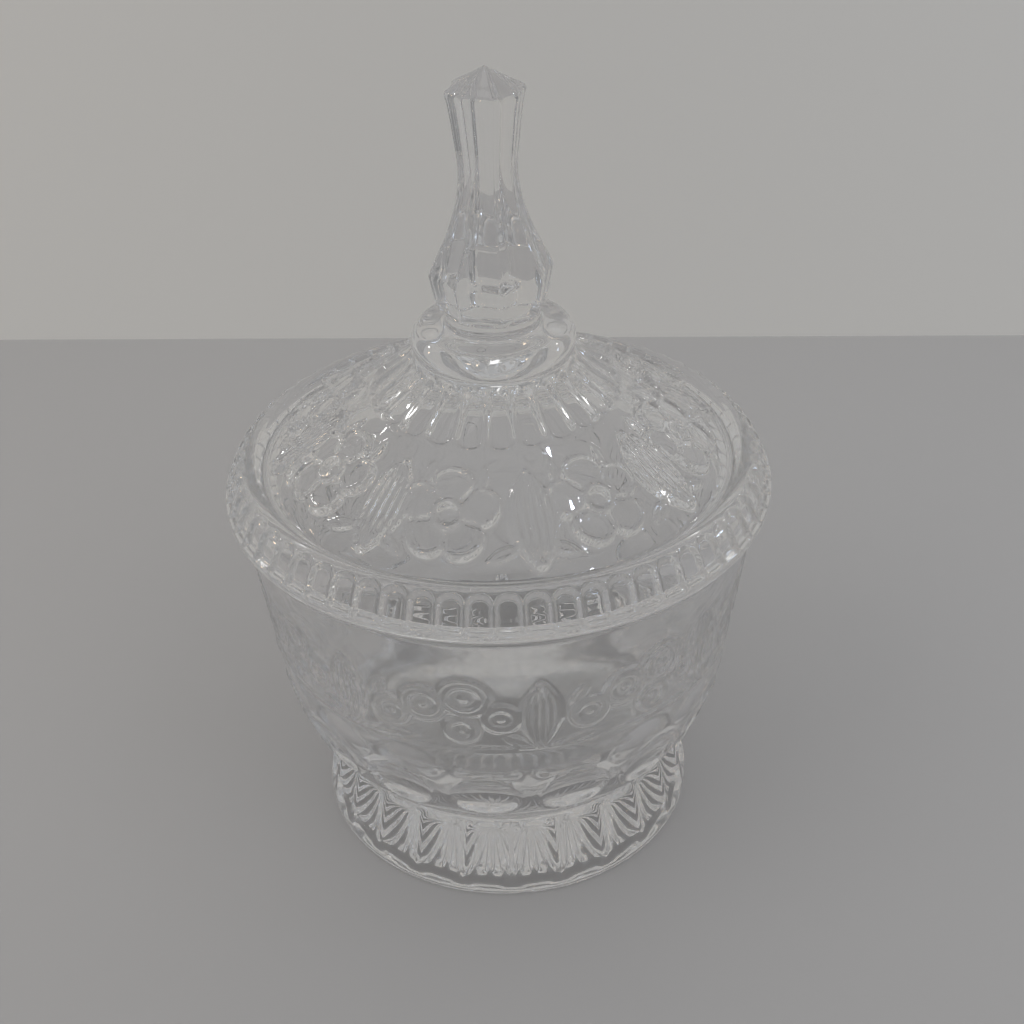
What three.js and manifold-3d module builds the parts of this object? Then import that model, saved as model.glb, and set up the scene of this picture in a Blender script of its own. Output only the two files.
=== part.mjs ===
// Pressed clear-glass candy dish: a footed bowl, and a domed lid with a tall eight-sided finial.
// Millimetres, +Z up, origin at the centre of the face that the foot rests on, front towards -Y.
import * as THREE from "three";
import { mergeVertices } from "three/addons/utils/BufferGeometryUtils.js";
import Module from "manifold-3d";

// ---------------------------------------------------------------- driving dimensions
// An outline is a list of [radius, height] stations, in the order that they are turned.
const BOWL_TURN = THREE.MathUtils.degToRad(7.5); // the bowl's pattern is turned this far to the right
const LID_TURN = THREE.MathUtils.degToRad(9.5); // the loose lid's pattern, as it is set down
const PANELS = 8; // the pressed pattern repeats eight times round the dish

const BOWL = {
  steps: 96,
  recess: [[0, 6.4], [14, 6.1], [28, 5.2], [39, 3.2], [45, 1.4]], // the shallow hollow under the foot
  restingRing: [[46, 0], [50.4, 0]],
  footSide: [[51.6, 1.6], [51.1, 6], [49.3, 14], [47.4, 24]],
  undercurve: [[47.4, 24], [53, 31], [58.4, 43], [61.6, 61]],
  side: [[61.6, 61], [62.4, 70], [64.5, 85], [67.2, 97.6]],
  lip: [[66.8, 99.7], [63, 99.7], [62.4, 99]],
  inside: [[60.2, 88], [57.4, 72], [55.8, 57], [53, 47.6], [47, 38], [38, 31], [25, 27.4], [0, 26]],
};

const LID = {
  steps: 72,
  hollow: [[0, 136.6], [14, 133.6], [24, 127.8], [33, 121.4], [45, 112.8], [56, 104.6]], // under the dome
  locatingRing: [[58, 99.4], [58.6, 95.2], [60.8, 95.2], [61.4, 100]], // drops into the bowl's mouth
  flange: [[68.6, 100], [70, 100.9], [70, 104]],
  border: [[70, 104], [67.6, 108.6], [64.4, 111], [61.2, 110.6], [59.3, 109.2]], // raised roll
  dome: [[59.3, 109.2], [45, 118.4], [31, 128.5]],
  cone: [[31, 128.5], [25.2, 132.6], [21.6, 136.2], [19.8, 138.6]],
  collar: [[19.8, 138.6], [20.4, 141.5], [18.6, 144.4], [13.5, 145.6]],
  collarTop: [[0, 145.8]],
};

const FINIAL = {
  steps: 32,
  neck: [[0, 143], [11.7, 143], [11.7, 150]],
  bulge: [[13.2, 150.4], [15.2, 158.8], [12.6, 165], [9.6, 172]],
  stem: [[9.6, 172], [7.5, 180], [7.3, 188], [9.5, 203]],
  apex: [[0, 209]],
  hollowness: 0.05, // how far each side is ground in, as a share of the radius
};

// A flute's round foot is centred on a height and reaches this far below it.
const FOOT_FLUTES = { count: 24, depth: 2.2, footCentre: 8.4, footLength: 4, fadeFrom: 19, fadeTo: 24 };
const THUMBPRINTS = {
  count: 2 * PANELS,
  turn: THREE.MathUtils.degToRad(-2), // the hollows stand a little to the left of the panels
  depth: 1.8,
  height: 42.8,
  halfHeight: 8.2,
  halfWidth: 8.9,
};
const CONE_FLUTES = { count: 24, depth: 0.9 };
const MERGE_DISTANCE = 1e-4;

// ---------------------------------------------------------------- solids
// A closed three.js geometry as a manifold-3d solid.
function solidOf(geometry) {
  geometry.deleteAttribute("normal");
  geometry.deleteAttribute("uv");
  const merged = mergeVertices(geometry, MERGE_DISTANCE);
  const index = merged.index.array;
  const triVerts = [];
  for (let i = 0; i < index.length; i += 3) {
    const [a, b, c] = index.slice(i, i + 3);
    if (a !== b && b !== c && c !== a) triVerts.push(a, b, c);
  }
  const vertProperties = merged.attributes.position.array;
  return new wasm.Manifold(
    new wasm.Mesh({ numProp: 3, vertProperties, triVerts: new Uint32Array(triVerts) }),
  );
}

// A manifold-3d solid as a three.js geometry.
function geometryOf(solid) {
  const mesh = solid.getMesh();
  const geometry = new THREE.BufferGeometry();
  geometry.setAttribute("position", new THREE.BufferAttribute(mesh.vertProperties, 3));
  geometry.setIndex(new THREE.BufferAttribute(mesh.triVerts, 1));
  geometry.computeVertexNormals();
  return geometry;
}

function corners(stations) {
  return stations.map(([radius, height]) => new THREE.Vector2(radius, height));
}

// A smooth run through the stations, with two steps between neighbours.
function smooth(stations) {
  return new THREE.SplineCurve(corners(stations)).getPoints(2 * (stations.length - 1));
}

// A stretch of an outline, with the relief pressed into it. Most stretches are plain.
function run(points, depthAt = () => 0) {
  return points.map((point) => ({ point, depthAt }));
}

// Turns an outline round Z and presses each run's relief into it: a vertex moves in by
// depthAt(radius, height, azimuth). Azimuth 0 is the front, and it grows towards +X.
function turned(runs, steps) {
  const outline = runs.flat();
  const geometry = new THREE.LatheGeometry(outline.map(({ point }) => point), steps);
  geometry.rotateX(Math.PI / 2);
  const position = geometry.attributes.position;
  for (let i = 0; i < position.count; i++) {
    const { point, depthAt } = outline[i % outline.length];
    const azimuth = Math.atan2(position.getX(i), -position.getY(i));
    const kept = point.x > 0 ? 1 - depthAt(point.x, point.y, azimuth) / point.x : 1;
    position.setXY(i, position.getX(i) * kept, position.getY(i) * kept);
  }
  return solidOf(geometry);
}

// Where an azimuth lies within its own repeat, from -1 to 1, with 0 in the middle.
function acrossRepeat(azimuth, count) {
  const turns = (azimuth * count) / (2 * Math.PI);
  return 2 * (turns - Math.floor(turns)) - 1;
}

// ---------------------------------------------------------------- bowl
// Hollow flutes round the foot, with round feet. They die out at the waist.
function footFluteDepth(radius, height, azimuth) {
  const across = 1 - Math.abs(acrossRepeat(azimuth, FOOT_FLUTES.count));
  const under = Math.max(0, FOOT_FLUTES.footCentre - height) / FOOT_FLUTES.footLength;
  const fade = THREE.MathUtils.smoothstep(height, FOOT_FLUTES.fadeFrom, FOOT_FLUTES.fadeTo);
  return FOOT_FLUTES.depth * Math.max(0, 1 - across ** 2 - under ** 2) * (1 - fade);
}

// Oval thumbprints round the undercurve, deepest in the middle.
function thumbprintDepth(radius, height, azimuth) {
  const halfPitch = (Math.PI * radius) / THUMBPRINTS.count;
  const share = acrossRepeat(azimuth - THUMBPRINTS.turn, THUMBPRINTS.count);
  const across = (share * halfPitch) / THUMBPRINTS.halfWidth;
  const up = (height - THUMBPRINTS.height) / THUMBPRINTS.halfHeight;
  return THUMBPRINTS.depth * Math.max(0, 1 - across ** 2 - up ** 2);
}

function bowlSolid() {
  const runs = [
    run(corners(BOWL.recess)),
    run(corners(BOWL.restingRing)),
    run(smooth(BOWL.footSide), footFluteDepth),
    run(smooth(BOWL.undercurve), thumbprintDepth),
    run(smooth(BOWL.side)),
    run(corners(BOWL.lip)),
    run(corners(BOWL.inside)),
  ];
  return turned(runs, BOWL.steps);
}

// ---------------------------------------------------------------- lid
// Upright flutes round the cone under the collar, with a sharp edge between each two.
function fluteDepth(radius, height, azimuth) {
  const [[, foot]] = LID.cone;
  const [, top] = LID.cone.at(-1);
  const along = (height - foot) / (top - foot);
  const across = acrossRepeat(azimuth, CONE_FLUTES.count);
  return 4 * CONE_FLUTES.depth * along * (1 - along) * (1 - across ** 2);
}

function lidShell() {
  const runs = [
    run(corners(LID.hollow)),
    run(corners(LID.locatingRing)),
    run(corners(LID.flange)),
    run(smooth(LID.border)),
    run(smooth(LID.dome)),
    run(smooth(LID.cone), fluteDepth),
    run(smooth(LID.collar)),
    run(corners(LID.collarTop)),
  ];
  return turned(runs, LID.steps);
}

// Eight sides with a corner between each two, every side a little hollow.
function sideDepth(radius, height, azimuth) {
  const halfSide = Math.PI / PANELS;
  const across = acrossRepeat(azimuth, PANELS);
  const flat = 1 - Math.cos(halfSide) / Math.cos(across * halfSide);
  return radius * (flat + FINIAL.hollowness * (1 - across ** 2));
}

function finialSolid() {
  const runs = [
    run(corners(FINIAL.neck)),
    run(smooth(FINIAL.bulge), sideDepth),
    run(smooth(FINIAL.stem), sideDepth),
    run(corners(FINIAL.apex)),
  ];
  return turned(runs, FINIAL.steps);
}

// The finial is pressed in one with the lid.
function lidSolid() {
  return lidShell().add(finialSolid());
}

// ---------------------------------------------------------------- the dish
function clearGlass(tint) {
  const finish = { color: tint, roughness: 0.03, metalness: 0, transparent: true, opacity: 0.35 };
  return new THREE.MeshStandardMaterial(finish);
}

function piece(name, solid, material, turn) {
  const mesh = new THREE.Mesh(geometryOf(solid), material);
  mesh.name = name;
  mesh.rotation.z = turn;
  return mesh;
}

const wasm = await Module();
wasm.setup();

const candyDish = new THREE.Group();
candyDish.add(piece("bowl", bowlSolid(), clearGlass(0xe4e8e5), BOWL_TURN));
candyDish.add(piece("lid", lidSolid(), clearGlass(0xe8ebe9), LID_TURN));

export default candyDish;
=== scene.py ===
"""Covered candy dish in clear pressed glass: a footed bowl, and a domed lid with a faceted finial.

The file is laid out as an add-on and run as a script. Each glass piece is one closed surface: an
outline turned round Z, with the pressed pattern worked out as a relief over it. Outlines and
patterns are in millimetres. Meshes are in metres, +Z up, with the front towards -Y.
"""

import math

import bpy
import numpy as np
from mathutils import Matrix, Vector


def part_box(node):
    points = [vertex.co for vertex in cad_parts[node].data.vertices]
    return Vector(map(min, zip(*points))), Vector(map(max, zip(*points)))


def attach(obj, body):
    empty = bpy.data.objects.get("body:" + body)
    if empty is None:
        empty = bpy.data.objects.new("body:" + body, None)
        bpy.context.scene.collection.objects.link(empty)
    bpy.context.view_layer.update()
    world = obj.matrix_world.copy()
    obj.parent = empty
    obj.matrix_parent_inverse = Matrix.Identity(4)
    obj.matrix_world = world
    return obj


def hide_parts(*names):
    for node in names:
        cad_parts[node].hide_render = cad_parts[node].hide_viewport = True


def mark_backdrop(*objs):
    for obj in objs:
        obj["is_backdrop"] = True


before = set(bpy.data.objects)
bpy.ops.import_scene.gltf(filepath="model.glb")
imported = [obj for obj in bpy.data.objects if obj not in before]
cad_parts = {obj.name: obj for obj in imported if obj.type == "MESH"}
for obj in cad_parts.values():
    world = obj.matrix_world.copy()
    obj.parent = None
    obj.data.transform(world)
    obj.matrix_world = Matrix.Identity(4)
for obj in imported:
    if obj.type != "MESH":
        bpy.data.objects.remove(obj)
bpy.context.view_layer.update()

bl_info = {
    "name": "Pressed glass candy dish",
    "version": (1, 0, 0),
    "blender": (4, 5, 0),
    "location": "View3D > Sidebar > Candy dish",
    "description": "Builds a covered candy dish in clear pressed glass around its packed CAD model",
    "category": "Add Mesh",
}

MM = 0.001
LID_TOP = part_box("lid")[1].z
PANELS = 8  # the pattern repeats eight times round both pieces
BOWL_SHARE = 0.45  # height of the bowl's motifs, as a share of the lid's
GLINTS = (  # small lamps either side of the dish: distance right, back and up, and colour
    (-0.48, 0.08, 0.26, "#FFE2BE"), (-0.36, 0.2, 0.42, "#FFFFFF"),
    (0.36, 0.18, 0.44, "#FFFFFF"), (0.48, 0.05, 0.27, "#CFE2FF"),
)
GLINT_POWER, GLINT_SIZE = 0.08, 0.03
WALL_DISTANCE = 0.271  # from the dish's axis back to the backdrop
WALL_TURN = math.radians(3.6)
BOARD_HALF = 3.0  # half the boards' width, and the backdrop's height
LOW_AIR, HIGH_AIR = 0.2, 0.46  # strength of the grey air at the horizon and overhead
LIGHT_BOUNCES = 24  # enough for light to cross both walls of both pieces, with their inner reflections
BRIGHTEST_BOUNCE = 6.0  # light that arrives after a bounce is cut to this, which keeps the grain down

GLASS_IOR = 1.517  # soda-lime glass
WAVE_LENGTH, WAVE_DEPTH = 9 * MM, 0.4 * MM  # the slow waviness that the mould leaves
FOOT_ROUGHNESS, SIDE_ROUGHNESS, LID_ROUGHNESS = 0.015, 0.095, 0.012
FOOT_END, SIDE_START = 26 * MM, 36 * MM  # heights between which the bowl's roughness changes
SIDE_WAVES, LID_WAVES = 0.35, 0.12  # share of the waves' depth that shows on each piece


# ------------------------------------------------------------------ settings
class PatternSettings(bpy.types.PropertyGroup):
    """The pressed pattern that both pieces share."""

    turn: bpy.props.FloatProperty(
        name="Bowl turn", description="How far the bowl's pattern is turned to the right of the front",
        default=math.radians(7.5), subtype="ANGLE", unit="ROTATION",
    )
    lid_turn: bpy.props.FloatProperty(
        name="Lid turn", description="The same for the loose lid, which is set down by hand",
        default=math.radians(9.5), subtype="ANGLE", unit="ROTATION",
    )
    flower_height: bpy.props.FloatProperty(
        name="Flower height", description="How far the petals stand out of the side",
        default=1.5 * MM, min=0.0, subtype="DISTANCE", unit="LENGTH", precision=5,
    )
    fan_height: bpy.props.FloatProperty(
        name="Fan height", description="How far the ribs of the leaf fans stand out",
        default=2.1 * MM, min=0.0, subtype="DISTANCE", unit="LENGTH", precision=5,
    )
    leaf_height: bpy.props.FloatProperty(
        name="Leaf height", description="How far the small leaves stand out",
        default=1.3 * MM, min=0.0, subtype="DISTANCE", unit="LENGTH", precision=5,
    )


class BowlSettings(bpy.types.PropertyGroup):
    """The bowl and its foot."""

    foot_flutes: bpy.props.IntProperty(
        name="Foot flutes", description="Upright flutes round the foot", default=24, min=8, max=96,
    )
    foot_flute_depth: bpy.props.FloatProperty(
        name="Foot flute depth", description="Depth of a flute between two ridges of the foot",
        default=2.2 * MM, min=0.0, subtype="DISTANCE", unit="LENGTH", precision=5,
    )
    thumbprint_depth: bpy.props.FloatProperty(
        name="Thumbprint depth", description="Depth of the oval hollows over the waist",
        default=1.8 * MM, min=0.0, subtype="DISTANCE", unit="LENGTH", precision=5,
    )
    tint: bpy.props.StringProperty(
        name="Tint", description="Colour of the bowl's glass, as an sRGB hex value", default="#FFFFFF",
    )


class LidSettings(bpy.types.PropertyGroup):
    """The lid with its collar and finial."""

    rim_arches: bpy.props.IntProperty(
        name="Rim arches", description="Small arched hollows round the lid's border",
        default=64, min=16, max=128,
    )
    arch_depth: bpy.props.FloatProperty(
        name="Arch depth", description="Depth of the hollow in each rim arch",
        default=1.3 * MM, min=0.0, subtype="DISTANCE", unit="LENGTH", precision=5,
    )
    cone_flutes: bpy.props.IntProperty(
        name="Cone flutes", description="Flutes round the cone under the collar", default=24, min=8, max=96,
    )
    flute_depth: bpy.props.FloatProperty(
        name="Flute depth", description="Depth of each flute of the cone",
        default=1.2 * MM, min=0.0, subtype="DISTANCE", unit="LENGTH", precision=5,
    )
    side_hollow: bpy.props.FloatProperty(
        name="Side hollow", description="How far each side of the finial is hollow, as a share of its radius",
        default=0.055, min=0.0, max=0.3, subtype="FACTOR",
    )
    tint: bpy.props.StringProperty(
        name="Tint", description="Colour of the lid's glass, as an sRGB hex value", default="#FFFFFF",
    )


class StageSettings(bpy.types.PropertyGroup):
    """The floor, the backdrop, the lights and the camera."""

    floor_colour: bpy.props.StringProperty(
        name="Floor colour", description="Colour of the table, as an sRGB hex value", default="#A1A0A0",
    )
    wall_colour: bpy.props.StringProperty(
        name="Backdrop colour", description="Colour of the backdrop, as an sRGB hex value", default="#D4D3D0",
    )
    camera_distance: bpy.props.FloatProperty(
        name="Camera distance", description="From the camera to the dish's axis",
        default=0.3509, min=0.1, subtype="DISTANCE", unit="LENGTH",
    )
    camera_height: bpy.props.FloatProperty(
        name="Camera height", description="Height of the camera over the table",
        default=0.3238, min=0.05, subtype="DISTANCE", unit="LENGTH",
    )
    camera_pitch: bpy.props.FloatProperty(
        name="Camera pitch", description="How far the camera looks down",
        default=math.radians(33.74), subtype="ANGLE", unit="ROTATION",
    )
    camera_yaw: bpy.props.FloatProperty(
        name="Camera yaw", description="How far the camera looks to the right",
        default=math.radians(0.53), subtype="ANGLE", unit="ROTATION",
    )
    camera_roll: bpy.props.FloatProperty(
        name="Camera roll", description="How far the camera is turned about its own line of sight",
        default=math.radians(1.68), subtype="ANGLE", unit="ROTATION",
    )
    camera_lens: bpy.props.FloatProperty(
        name="Focal length", description="Focal length, in millimetres, on a 36 mm sensor",
        default=56.25, min=10.0, subtype="DISTANCE_CAMERA",
    )


# ------------------------------------------------------------------ curves and soft steps
def hermite(stations, places):
    """Points on a smooth curve through the stations: a cubic between each two, whose slope at a station
    is the slope from its neighbour before to its neighbour after, over the distance along the line."""
    points = np.asarray(stations, float)
    along = distances(points)
    before = np.maximum(np.arange(len(points)) - 1, 0)
    after = np.minimum(np.arange(len(points)) + 1, len(points) - 1)
    slope = (points[after] - points[before]) / (along[after] - along[before])[:, None]
    span = np.clip(np.searchsorted(along, places, side="right") - 1, 0, len(points) - 2)
    length = (along[span + 1] - along[span])[:, None]
    t = (places - along[span])[:, None] / length
    start, end = points[span], points[span + 1]
    return (
        start * (2 * t**3 - 3 * t**2 + 1) + end * (3 * t**2 - 2 * t**3)
        + slope[span] * length * (t**3 - 2 * t**2 + t) + slope[span + 1] * length * (t**3 - t**2)
    )


def distances(points):
    """Distance along a line of points, from its first point to each."""
    steps = np.linalg.norm(np.diff(points, axis=0), axis=1)
    return np.concatenate([[0.0], np.cumsum(steps)])


def ramp(value, low, high):
    """Rises smoothly from 0 at low to 1 at high: 3 t squared - 2 t cubed."""
    t = np.clip((value - low) / (high - low), 0.0, 1.0)
    return t * t * (3 - 2 * t)


def ridge(distance, half_width):
    """A round ridge: 1 on its line, falling as a bell curve of that half width."""
    return np.exp(-((distance / half_width) ** 2))


def across_repeat(azimuth, count):
    """Where an azimuth lies within its own repeat, from -1 to 1, with 0 in the middle."""
    turns = azimuth * count / (2 * math.pi)
    return 2 * (turns - np.floor(turns)) - 1


# ------------------------------------------------------------------ pressed motifs, in mm on a panel
def fan_relief(across, up, base, tip, half_width):
    """A pointed leaf of upright ribs. Its half width is a parabola of the height, 0 at both points, and
    the ribs are a cosine of the share of that width, so they all meet in the points."""
    share = np.clip((up - base) / (tip - base), 0.0, 1.0)
    width = half_width * 4 * share * (1 - share)
    part = np.abs(across) / np.maximum(width, 1e-3)
    inside = ramp(width - np.abs(across), -0.1, 0.6)
    ribs = 0.5 + 0.5 * np.cos(part * math.pi * 6)
    return inside * (0.4 + 0.6 * ribs) * ramp(width, 0.0, 1.2)


def flower_relief(across, up, centre, radius, turn, petals=5):
    """A flower seen from the front. A petal's edge is a circle's lobe, radius times (0.6 + 0.4 times the
    root of the cosine across it). The petals are flat steps with crisp edges and a narrow groove between
    two of them, round a ring with a sunk heart."""
    x, y = across - centre[0], up - centre[1]
    out = np.hypot(x, y)
    lobe = np.abs(np.cos((np.arctan2(y, x) - turn) * petals / 2))
    edge = radius * (0.6 + 0.4 * np.sqrt(lobe))
    petal = ramp(edge - out, -0.1, 0.6)
    rim = 0.5 * ridge(edge - out - 0.7, 0.5)
    gap = np.minimum(1 - ramp(lobe * out / radius, 0.0, 0.14), ramp(out, 0.25 * radius, 0.45 * radius))
    heart = 0.27 * radius
    ring = 0.5 * ridge(out - heart, 0.55) - 0.6 * (1 - ramp(out, 0.5 * heart, 0.8 * heart))
    return petal * (1 - 0.7 * gap) + rim + ring


def blossom_relief(across, up, centre, radius):
    """A small round blossom: two ring ridges, the outer one on its edge, round a raised bead."""
    out = np.hypot(across - centre[0], up - centre[1])
    disc = 0.45 * ramp(radius - out, -0.3, 0.5)
    rings = 0.7 * ridge(out - radius, 0.6) + 0.6 * ridge(out - 0.68 * radius, 0.55)
    return disc + rings + 0.6 * ridge(out, 0.16 * radius)


def leaf_relief(across, up, stalk, length, width, angle):
    """A pointed leaf from its stalk, at an angle. Its half width is a sine of the share of its length, and
    it slopes up from a sunk vein to its edges."""
    x, y = across - stalk[0], up - stalk[1]
    along = (x * math.cos(angle) + y * math.sin(angle)) / length
    side = np.abs(-x * math.sin(angle) + y * math.cos(angle))
    half = 0.5 * width * np.sin(math.pi * np.clip(along, 0.0, 1.0))
    inside = ramp(half - side, -0.1, 0.5)
    return inside * (0.35 + 0.65 * np.minimum(side / np.maximum(half, 1e-3), 1.0))


# ------------------------------------------------------------------ surfaces of revolution
def glass_surface(outline, sections, turn):
    """Rings of points for one turned piece. The outline is a smooth curve of radius and height through
    its stations. A section is (number of stations, row step, columns, relief): it covers the next
    stations, with a ring of points every row step. Its relief moves the points of a ring."""
    places = distances(np.asarray(outline, float))
    rings = []
    first = 0
    for stations, step, columns, relief in sections:
        last = first + stations
        low, high = places[first], places[last]
        rows = max(1, round((high - low) / step))
        along = low + (high - low) * np.arange(1, rows + 1) / rows
        along = along[along < places[-1] - 1e-6]
        points = hermite(outline, along)
        slope = hermite(outline, np.minimum(along + 0.05, places[-1])) - hermite(outline, along - 0.05)
        slope /= np.linalg.norm(slope, axis=1)[:, None]
        azimuth = 2 * math.pi * np.arange(columns) / columns
        radius = np.repeat(points[:, :1], columns, axis=1)
        height = np.repeat(points[:, 1:], columns, axis=1)
        if relief is not None:
            grid = np.broadcast_to(azimuth, radius.shape)
            part = np.repeat(((along - low) / (high - low))[:, None], columns, axis=1)
            out, share = relief(grid, radius, height, part, (along - low)[:, None])
            radius = radius * share + out * slope[:, 1:]
            height = height - out * slope[:, :1]
        x = radius * np.sin(azimuth + turn)
        y = -radius * np.cos(azimuth + turn)
        rings.extend(np.stack([x, y, height], axis=-1))
        first = last
    return rings


def bridge(low, high, low_count, high_count):
    """Faces between two rings whose points start at low and high. Where one ring has k times the other's
    points, each coarse edge takes a fan of k triangles and one more."""
    few = min(low_count, high_count)
    times = max(low_count, high_count) // few
    i = np.arange(few)
    after = (i + 1) % few
    if times == 1:
        return [np.stack([low + i, low + after, high + after, high + i], axis=1)]
    faces = []
    half = times // 2
    for m in range(times):
        fine = times * i + m
        fine_after = (fine + 1) % (times * few)
        if low_count > high_count:
            faces.append(np.stack([low + fine, low + fine_after, high + (i if m < half else after)], axis=1))
        else:
            faces.append(np.stack([low + (i if m < half else after), high + fine_after, high + fine], axis=1))
    middle = times * i + half
    if low_count > high_count:
        faces.append(np.stack([low + middle, high + after, high + i], axis=1))
    else:
        faces.append(np.stack([low + i, low + after, high + middle], axis=1))
    return faces


def turned_object(name, rings, bottom, top):
    """One closed mesh from its rings, with a pole on the axis at each end of the outline, heights in mm."""
    counts = [len(ring) for ring in rings]
    starts = np.concatenate([[0], np.cumsum(counts)])
    points = np.concatenate([*rings, [[0.0, 0.0, bottom], [0.0, 0.0, top]]]) * MM
    faces = []
    for j in range(len(rings) - 1):
        faces.extend(bridge(starts[j], starts[j + 1], counts[j], counts[j + 1]))
    for pole, start, count, at_start in (
        (len(points) - 2, starts[0], counts[0], True),
        (len(points) - 1, starts[-2], counts[-1], False),
    ):
        i = np.arange(count)
        after = (i + 1) % count
        ends = (after, i) if at_start else (i, after)
        faces.append(np.stack([np.full(count, pole), start + ends[0], start + ends[1]], axis=1))
    mesh = bpy.data.meshes.new(name)
    mesh.from_pydata(points.tolist(), [], [face for block in faces for face in block.tolist()])
    mesh.validate()
    mesh.shade_smooth()
    piece = bpy.data.objects.new(name, mesh)
    bpy.context.scene.collection.objects.link(piece)
    return piece


# ------------------------------------------------------------------ the bowl
BOWL_OUTLINE = [
    (0, 6.4), (14, 6.1), (28, 5.2), (39, 3.2), (44.4, 1.6),
    (45.3, 0.9), (46.4, 0.2), (49.9, 0.2), (51.2, 0.8),
    (51.5, 2.2), (51.1, 6), (49.3, 14), (47.6, 22), (47.4, 24),
    (48.6, 26.6), (53.0, 31), (58.4, 43), (61.2, 56), (61.6, 61),
    (61.8, 63), (62.4, 70), (64.5, 85), (66.9, 96.4),
    (67.1, 98.2), (66.5, 99.4), (65.4, 99.7), (63.4, 99.7), (62.6, 99.3), (62.3, 98.4),
    (60.2, 88), (57.4, 72), (55.8, 57), (53, 47.6), (47, 38), (38, 31), (25, 27.4), (0, 26),
]
RAY_HEIGHT = 1.4
RAY_START, RAY_END = 12.0, 45.0  # radii between which the rays stand
THUMBPRINT_TURN = math.radians(-2.0)  # the hollows stand a little to the left of the panels


def base_rays(settings):
    """Straight rays under the foot, two to a flute: a rounded ridge each, which fades at both ends."""

    def relief(azimuth, radius, height, part, along):
        across = across_repeat(azimuth, 2 * settings.foot_flutes)
        fade = ramp(radius, RAY_START, RAY_START + 8.0) * (1 - ramp(radius, RAY_END - 2.5, RAY_END))
        return RAY_HEIGHT * (1 - across**2) * fade, 1.0

    return relief


def foot_flutes(settings):
    """Round flutes with round feet: one less the squared distance from the flute's middle line, and below
    a height also less the squared distance from there. They run out into the waist."""
    depth = settings.foot_flute_depth / MM
    foot_centre, foot_length, waist = 9.5, 7.0, 24.0

    def relief(azimuth, radius, height, part, along):
        across = 1 - np.abs(across_repeat(azimuth, settings.foot_flutes))
        under = np.maximum(foot_centre - height, 0.0) / foot_length
        hollow = np.maximum(1 - across**2 - under**2, 0.0)
        return -depth * hollow * (1 - ramp(height, waist - 5.0, waist)), 1.0

    return relief


def thumbprints(settings):
    """Oval hollows, deepest in the middle: one less the squared distance, as a share of the oval's half
    width and half height. A low ridge round each gives it a crisp edge."""
    depth = settings.thumbprint_depth / MM
    half_height, half_width, middle = 8.2, 8.9, 42.8

    def relief(azimuth, radius, height, part, along):
        half_pitch = math.pi * radius / (2 * PANELS)
        across = across_repeat(azimuth - THUMBPRINT_TURN, 2 * PANELS) * half_pitch / half_width
        up = (height - middle) / half_height
        hollow = 1 - across**2 - up**2
        edge = ridge(np.sqrt(across**2 + up**2) - 1.04, 0.08)
        return -depth * np.maximum(hollow, 0.0) + 0.3 * depth * edge, 1.0

    return relief


def side_pattern(settings):
    """A leaf fan on each panel's edge with a leaf either side of its foot, and a cluster of blossoms
    between two fans. The highest blossom counts where two meet, and the leaves lie under the rest. A low
    bead runs round the crease, and all fades out under the mouth."""
    flower = BOWL_SHARE * settings.flower_height / MM
    fan = BOWL_SHARE * settings.fan_height / MM
    leaf = BOWL_SHARE * settings.leaf_height / MM
    blossoms_at = (
        ((6.6, 18.6), 6.2), ((15.0, 11.6), 4.6), ((-3.6, 15.4), 5.6), ((-12.4, 10.6), 4.8), ((5.4, 7.6), 4.2),
    )

    def relief(azimuth, radius, height, part, along):
        half_panel = math.pi * radius / PANELS
        across = across_repeat(azimuth, PANELS) * half_panel
        up = np.broadcast_to(along, across.shape)
        from_fan = np.where(across > 0, across - half_panel, across + half_panel)
        fans = fan_relief(from_fan, up, 0.0, 24.5, 5.6)
        clear = 1 - ramp(fans, 0.0, 0.1)
        leaves = (
            leaf_relief(from_fan, up, (0.8, 0.3), 19.0, 3.4, math.radians(10))
            + leaf_relief(from_fan, up, (-0.8, 0.3), 11.5, 3.4, math.radians(148))
            + leaf_relief(across, up, (-17.5, 13.0), 9.0, 4.0, math.radians(64))
        )
        blossoms = np.maximum.reduce([blossom_relief(across, up, *blossom) for blossom in blossoms_at])
        ground = clear * (1 - ramp(blossoms, 0.0, 0.15))
        rise = flower * blossoms * clear + fan * fans + leaf * leaves * ground
        bead = 0.6 * leaf * ridge(up - 0.9, 0.5)
        return (rise + bead) * (1 - ramp(part, 0.95, 1.0)), 1.0

    return relief


def bowl_rings(pattern, bowl):
    """The bowl from the middle of its underside, up the outside, over the mouth and down into the hollow:
    foot's hollow, foot's ring, flutes, undercurve, side, mouth, inside."""
    sections = (
        (4, 2.4, 384, base_rays(bowl)),
        (5, 0.7, 384, None),
        (4, 0.9, 384, foot_flutes(bowl)),
        (5, 0.75, 384, thumbprints(bowl)),
        (4, 0.63, 768, side_pattern(pattern)),
        (6, 0.6, 384, None),
        (8, 3.6, 192, None),
    )
    return glass_surface(BOWL_OUTLINE, sections, pattern.turn)


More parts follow.
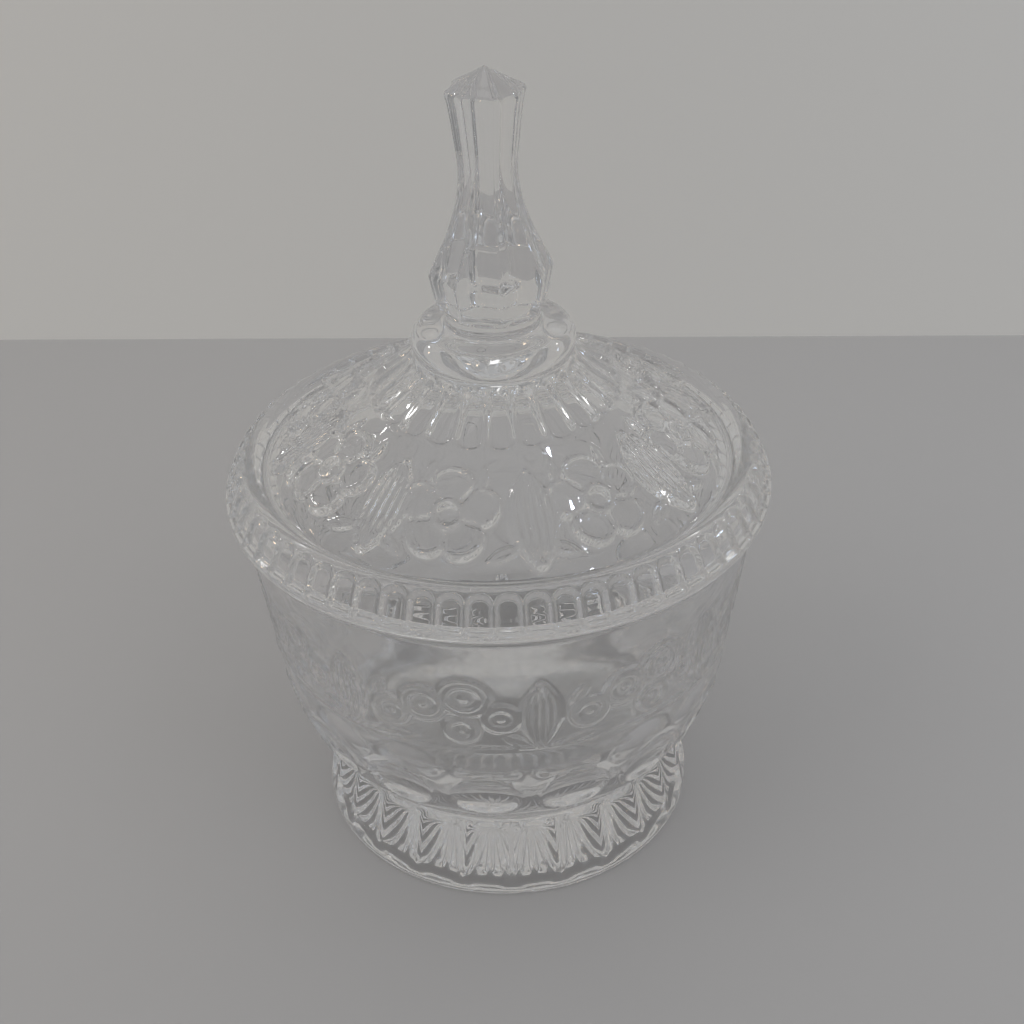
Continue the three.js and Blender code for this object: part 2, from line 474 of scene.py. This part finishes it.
# ------------------------------------------------------------------ the lid
LID_OUTLINE = [
    (0, 136.6), (14, 133.6), (24, 127.8), (33, 121.4), (45, 112.8), (56, 104.8), (57.6, 103.0),
    (58.1, 99.4), (58.5, 96.0), (59.2, 95.25), (60.3, 95.25), (60.9, 96.0), (61.2, 99.0),
    (62.1, 100.05), (68.4, 100.05), (69.5, 100.4), (69.95, 101.2),
    (69.95, 103.5), (69.6, 104.2), (67.6, 108.4), (66.2, 110.0), (64.4, 110.9), (62.2, 110.8),
    (60.4, 109.6), (59.3, 109.2), (57.6, 110.2), (45, 118.4), (31.8, 127.6),
    (31, 128.3), (28, 130.8), (24.4, 133.6), (21.4, 136.6), (19.9, 138.3),
    (19.8, 138.9), (20.3, 140.3), (20.2, 142.6), (18.9, 144.8), (17.2, 145.5), (12.4, 145.8),
    (11.7, 146.3), (11.6, 149.4), (11.8, 150.0),
    (13.2, 150.4), (15.1, 158.6), (15.2, 159.6), (12.9, 164.6), (10.1, 170.6), (7.9, 177.6), (7.1, 185),
    (7.7, 192), (8.9, 201), (9.4, 203.0), (9.2, 203.9), (4.6, 206.4), (0, LID_TOP / MM),
]


def rim_arches(settings):
    """Small hollows with round tops, open below over the plain lip: one less the squared distance across
    each arch, and above a height also less the squared distance from there, with a flat bed."""
    depth = settings.arch_depth / MM
    crease, straight, top = 2.6, 8.6, 3.2

    def relief(azimuth, radius, height, part, along):
        across = across_repeat(azimuth, settings.rim_arches)
        over = np.maximum(along - straight, 0.0) / top
        reach = 1 - across**2 - over**2
        return -depth * ramp(reach, 0.06, 0.6) * ramp(along, crease - 0.5, crease + 0.2), 1.0

    return relief


def dome_pattern(settings):
    """The bowl's fans again, upright on the dome's panel edges, with a large flower on each panel and two
    small leaves above and two below it. The leaves lie under the flower, and both under the fans."""
    flower, fan = settings.flower_height / MM, settings.fan_height / MM
    leaf = settings.leaf_height / MM

    def relief(azimuth, radius, height, part, along):
        half_panel = math.pi * radius / PANELS
        across = across_repeat(azimuth, PANELS) * half_panel
        up = np.broadcast_to(along, across.shape)
        from_fan = np.where(across > 0, across - half_panel, across + half_panel)
        fans = fan_relief(from_fan, up, -0.6, 26.6, 6.2)
        clear = 1 - ramp(fans, 0.0, 0.1)
        large = flower_relief(across, up, (-1.6, 14.4), 12.3, math.radians(90)) * clear
        leaves = (
            leaf_relief(across, up, (5.4, 20.6), 7.6, 2.6, math.radians(96))
            + leaf_relief(across, up, (-8.6, 20.6), 7.6, 3.0, math.radians(78))
            + leaf_relief(across, up, (8.6, 3.4), 9.0, 3.4, math.radians(24))
            + leaf_relief(across, up, (-11.4, 3.2), 9.0, 3.4, math.radians(150))
        )
        rise = flower * large + leaf * leaves * clear * (1 - ramp(large, 0.0, 0.15))
        return (rise + fan * fans) * ramp(along, 0.2, 1.2) * (1 - ramp(part, 0.95, 1.0)), 1.0

    return relief


def cone_flutes(settings):
    """Flutes with round ends: a hollow across each flute, cut off by a half circle at its top and foot."""
    depth = settings.flute_depth / MM

    def relief(azimuth, radius, height, part, along):
        across = across_repeat(azimuth, settings.cone_flutes)
        over = np.maximum(part - 0.8, 0.0) / 0.17
        under = np.maximum(0.2 - part, 0.0) / 0.18
        reach = 1 - across**2 - over**2 - under**2
        return -depth * ramp(reach, 0.05, 0.6), 1.0

    return relief


def finial_sides(settings):
    """Eight hollow sides: a chord's distance from the axis, less a hollow that is deepest in its middle."""

    def relief(azimuth, radius, height, part, along):
        half_side = math.pi / PANELS
        across = across_repeat(azimuth, PANELS)
        flat = math.cos(half_side) / np.cos(across * half_side)
        hollow = settings.side_hollow * (1 - across**2)
        return np.zeros_like(radius), flat - hollow

    return relief


def lid_rings(pattern, lid):
    """The lid from the middle of its hollow to the top: hollow, locating ring, lip, border, groove, dome,
    cone, collar, neck, finial."""
    sections = (
        (6, 4.0, 192, None),
        (7, 0.8, 192, None),
        (3, 1.1, 192, None),
        (6, 0.6, 1152, rim_arches(lid)),
        (3, 0.6, 576, None),
        (2, 0.58, 576, dome_pattern(pattern)),
        (5, 0.55, 288, cone_flutes(lid)),
        (6, 0.7, 288, None),
        (3, 0.7, 144, None),
        (13, 0.8, 144, finial_sides(lid)),
    )
    return glass_surface(LID_OUTLINE, sections, pattern.lid_turn)


# ------------------------------------------------------------------ materials
def linear(hex_colour):
    """An sRGB hex colour as linear red, green, blue and alpha."""
    channels = [int(hex_colour[i:i + 2], 16) / 255 for i in (1, 3, 5)]
    return [c / 12.92 if c <= 0.04045 else ((c + 0.055) / 1.055) ** 2.4 for c in channels] + [1.0]


def add_node(material, kind, inputs=None, links=None, **settings):
    """Adds a node with its settings, its input values and the sockets that are linked to its inputs."""
    node = material.node_tree.nodes.new(kind)
    for name, value in settings.items():
        setattr(node, name, value)
    for name, value in (inputs or {}).items():
        node.inputs[name].default_value = value
    for name, socket in (links or {}).items():
        material.node_tree.links.new(socket, node.inputs[name])
    return node


def new_material(name):
    """An empty node material."""
    material = bpy.data.materials.new(name)
    material.use_nodes = True
    material.node_tree.nodes.clear()
    return material


def finish_mixed(material, share, first, second):
    """Ends a material with its first shader where the share is 0 and its second where the share is 1."""
    links = {0: share, 1: first.outputs[0], 2: second.outputs[0]}
    mixed = add_node(material, "ShaderNodeMixShader", links=links)
    add_node(material, "ShaderNodeOutputMaterial", links={"Surface": mixed.outputs[0]})
    return material


def pressed_glass(name, tint, low, high, waves):
    """Pressed soda-lime glass, fire-polished: clear and almost colourless, with sharp glints. The mould
    leaves a slow waviness that bends what is seen through the wall. The roughness goes from low to high
    between the foot and the side, since the bowl's side is hazier than its foot. Its shadow is nearly clear,
    as light passes through the glass."""
    material = new_material(name)
    place = add_node(material, "ShaderNodeTexCoord")
    parts = add_node(material, "ShaderNodeSeparateXYZ", links={"Vector": place.outputs["Object"]})
    polish = add_node(
        material, "ShaderNodeMapRange",
        {"From Min": FOOT_END, "From Max": SIDE_START, "To Min": low, "To Max": high},
        {"Value": parts.outputs["Z"]},
    )
    noise = add_node(
        material, "ShaderNodeTexNoise", {"Scale": 1 / WAVE_LENGTH, "Detail": 2.0, "Roughness": 0.4},
        {"Vector": place.outputs["Object"]},
    )
    bump = add_node(
        material, "ShaderNodeBump", {"Strength": waves, "Distance": WAVE_DEPTH},
        {"Height": noise.outputs["Fac"]},
    )
    glass = add_node(
        material, "ShaderNodeBsdfPrincipled",
        {"Base Color": linear(tint), "IOR": GLASS_IOR, "Transmission Weight": 1.0},
        {"Normal": bump.outputs["Normal"], "Roughness": polish.outputs["Result"]},
    )
    shade = add_node(material, "ShaderNodeBsdfTransparent", {"Color": linear("#F8F8F8")})
    path = add_node(material, "ShaderNodeLightPath")
    return finish_mixed(material, path.outputs["Is Shadow Ray"], glass, shade)


def matt_paint(name, colour, roughness):
    """Matt painted board: plain and pale, so that the glass stands out by its glints alone. It is clear
    from behind, so that the dish is seen from every side."""
    material = new_material(name)
    paint = add_node(
        material, "ShaderNodeBsdfPrincipled", {"Base Color": linear(colour), "Roughness": roughness},
    )
    clear = add_node(material, "ShaderNodeBsdfTransparent")
    side = add_node(material, "ShaderNodeNewGeometry")
    return finish_mixed(material, side.outputs["Backfacing"], paint, clear)


# ------------------------------------------------------------------ operators
def hand_over(piece, node, material):
    """The finished piece takes the CAD node's place on its body."""
    piece.data.materials.append(material)
    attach(piece, node)
    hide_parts(node)


class DISH_OT_bowl(bpy.types.Operator):
    """Build the bowl with its fluted foot, thumbprints and pressed blossoms"""

    bl_idname = "dish.bowl"
    bl_label = "Bowl"

    def execute(self, context):
        scene = context.scene
        rings = bowl_rings(scene.dish_pattern, scene.dish_bowl)
        piece = turned_object("pressed_bowl", rings, BOWL_OUTLINE[0][1], BOWL_OUTLINE[-1][1])
        glass = pressed_glass(
            "pressed soda-lime glass, bowl", scene.dish_bowl.tint, FOOT_ROUGHNESS, SIDE_ROUGHNESS, SIDE_WAVES,
        )
        hand_over(piece, "bowl", glass)
        return {"FINISHED"}


class DISH_OT_lid(bpy.types.Operator):
    """Build the lid with its arched border, pressed flowers, fluted cone, collar and finial"""

    bl_idname = "dish.lid"
    bl_label = "Lid"

    def execute(self, context):
        scene = context.scene
        rings = lid_rings(scene.dish_pattern, scene.dish_lid)
        piece = turned_object("pressed_lid", rings, LID_OUTLINE[0][1], LID_OUTLINE[-1][1])
        glass = pressed_glass(
            "pressed soda-lime glass, lid", scene.dish_lid.tint, LID_ROUGHNESS, LID_ROUGHNESS, LID_WAVES,
        )
        hand_over(piece, "lid", glass)
        return {"FINISHED"}


def strip_object(name, profile, turn, shift, material):
    """A wide strip along a profile of distances back and heights, turned round Z and then moved back."""
    points = [
        (x * math.cos(turn) + y * math.sin(turn), shift - x * math.sin(turn) + y * math.cos(turn), z)
        for y, z in profile for x in (-BOARD_HALF, BOARD_HALF)
    ]
    faces = [(2 * i, 2 * i + 1, 2 * i + 3, 2 * i + 2) for i in range(len(profile) - 1)]
    mesh = bpy.data.meshes.new(name)
    mesh.from_pydata(points, [], faces)
    mesh.shade_smooth()
    mesh.materials.append(material)
    thing = bpy.data.objects.new(name, mesh)
    bpy.context.scene.collection.objects.link(thing)
    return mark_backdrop(thing)


def add_lamp(name, kind, place, power, colour, seen=True, **shape):
    """A lamp aimed at the dish. One that isn't seen lights the boards but leaves no patch in the glass."""
    lamp = bpy.data.lights.new(name, kind)
    lamp.energy = power
    lamp.color = linear(colour)[:3]
    for key, value in shape.items():
        setattr(lamp, key, value)
    thing = bpy.data.objects.new(name, lamp)
    thing.location = place
    thing.rotation_euler = (Vector((0, 0, 0.1)) - Vector(place)).to_track_quat("-Z", "Y").to_euler()
    thing.visible_glossy = seen
    thing.visible_transmission = seen
    bpy.context.scene.collection.objects.link(thing)
    return thing


def studio_air():
    """Even grey air, a little brighter overhead: the grey rises with the height of the line of sight."""
    world = bpy.data.worlds.new("studio air")
    world.use_nodes = True
    background = world.node_tree.nodes["Background"]
    place = add_node(world, "ShaderNodeTexCoord")
    parts = add_node(world, "ShaderNodeSeparateXYZ", links={"Vector": place.outputs["Generated"]})
    grey = add_node(
        world, "ShaderNodeMapRange",
        {"From Min": 0.0, "From Max": 1.0, "To Min": LOW_AIR, "To Max": HIGH_AIR},
        {"Value": parts.outputs["Z"]},
    )
    world.node_tree.links.new(grey.outputs[0], background.inputs["Strength"])
    background.inputs["Color"].default_value = linear("#FDFEFF")
    return world


class DISH_OT_stage(bpy.types.Operator):
    """Set the pale table and backdrop, the soft lights and the camera"""

    bl_idname = "dish.stage"
    bl_label = "Stage"

    def execute(self, context):
        scene = context.scene
        stage = scene.dish_stage
        table = matt_paint("matt painted board, table", stage.floor_colour, 0.6)
        wall = matt_paint("matt painted board, backdrop", stage.wall_colour, 0.9)
        strip_object("table", [(-BOARD_HALF, 0), (BOARD_HALF, 0)], 0.0, 0.0, table)
        strip_object("backdrop", [(0, 0), (0, BOARD_HALF)], WALL_TURN, WALL_DISTANCE, wall)
        wide = math.radians(40)
        add_lamp("key", "SUN", (-0.8, -0.35, 0.85), 1.2, "#FFFCF8", seen=False, angle=wide)
        add_lamp("fill", "SUN", (0.8, -0.8, 1.0), 0.8, "#FCFDFF", seen=False, angle=wide)
        add_lamp("overhead panel", "AREA", (-0.35, 0.15, 1.3), 0.25, "#FFFFFF", size=0.3)
        add_lamp("cool lamp", "AREA", (0.42, -0.12, 1.05), 0.35, "#DDEBFF", size=0.024)
        add_lamp("warm lamp", "AREA", (-0.45, -0.55, 0.65), 0.2, "#FFE2BE", size=0.08)
        add_lamp("blue lamp", "AREA", (0.5, -0.55, 0.7), 0.2, "#CFE2FF", size=0.08)
        for *place, colour in GLINTS:
            add_lamp("glint lamp", "AREA", place, GLINT_POWER, colour, size=GLINT_SIZE)
        scene.world = studio_air()
        scene.view_settings.view_transform = "Standard"
        scene.cycles.max_bounces = LIGHT_BOUNCES
        scene.cycles.glossy_bounces = LIGHT_BOUNCES
        scene.cycles.transmission_bounces = LIGHT_BOUNCES
        scene.cycles.transparent_max_bounces = LIGHT_BOUNCES
        scene.cycles.caustics_refractive = False
        scene.cycles.caustics_reflective = False
        scene.cycles.sample_clamp_indirect = BRIGHTEST_BOUNCE
        add_camera(scene, stage)
        return {"FINISHED"}


def add_camera(scene, stage):
    """The camera in front of the dish. Its line of sight is turned down by the pitch and right by the yaw,
    and its right and upward directions are then turned about that line by the roll."""
    ahead = Vector((
        math.sin(stage.camera_yaw) * math.cos(stage.camera_pitch),
        math.cos(stage.camera_yaw) * math.cos(stage.camera_pitch),
        -math.sin(stage.camera_pitch),
    ))
    level = ahead.cross(Vector((0, 0, 1))).normalized()
    above = level.cross(ahead)
    right = math.cos(stage.camera_roll) * level - math.sin(stage.camera_roll) * above
    up = math.sin(stage.camera_roll) * level + math.cos(stage.camera_roll) * above
    turn = Matrix((right, up, -ahead)).transposed().to_4x4()
    data = bpy.data.cameras.new("camera")
    data.sensor_width = 36.0
    data.lens = stage.camera_lens
    data.clip_start = 0.01
    camera = bpy.data.objects.new("camera", data)
    camera.matrix_world = Matrix.Translation((0, -stage.camera_distance, stage.camera_height)) @ turn
    scene.collection.objects.link(camera)
    scene.camera = camera


class DISH_PT_panel(bpy.types.Panel):
    """Lists the steps that build the dish"""

    bl_idname = "DISH_PT_panel"
    bl_label = "Candy dish"
    bl_space_type = "VIEW_3D"
    bl_region_type = "UI"
    bl_category = "Candy dish"

    def draw(self, context):
        """Each group's settings, with the buttons of the steps that use them"""
        for settings, operators in STEPS:
            group = getattr(context.scene, settings)
            for name in group.__annotations__:
                self.layout.prop(group, name)
            for operator in operators:
                self.layout.operator(operator)


SETTINGS = {
    "dish_pattern": PatternSettings,
    "dish_bowl": BowlSettings,
    "dish_lid": LidSettings,
    "dish_stage": StageSettings,
}
STEPS = (
    ("dish_pattern", ()),
    ("dish_bowl", ("dish.bowl",)),
    ("dish_lid", ("dish.lid",)),
    ("dish_stage", ("dish.stage",)),
)
CLASSES = (*SETTINGS.values(), DISH_OT_bowl, DISH_OT_lid, DISH_OT_stage, DISH_PT_panel)


def register():
    """Adds the classes, and their settings to the scene."""
    for cls in CLASSES:
        bpy.utils.register_class(cls)
    for name, group in SETTINGS.items():
        setattr(bpy.types.Scene, name, bpy.props.PointerProperty(type=group))


def unregister():
    """Takes the settings and the classes away again."""
    for name in SETTINGS:
        delattr(bpy.types.Scene, name)
    for cls in reversed(CLASSES):
        bpy.utils.unregister_class(cls)


def main():
    """Registers the add-on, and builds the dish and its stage."""
    register()
    bpy.ops.dish.bowl()
    bpy.ops.dish.lid()
    bpy.ops.dish.stage()


if __name__ == "__main__":
    main()
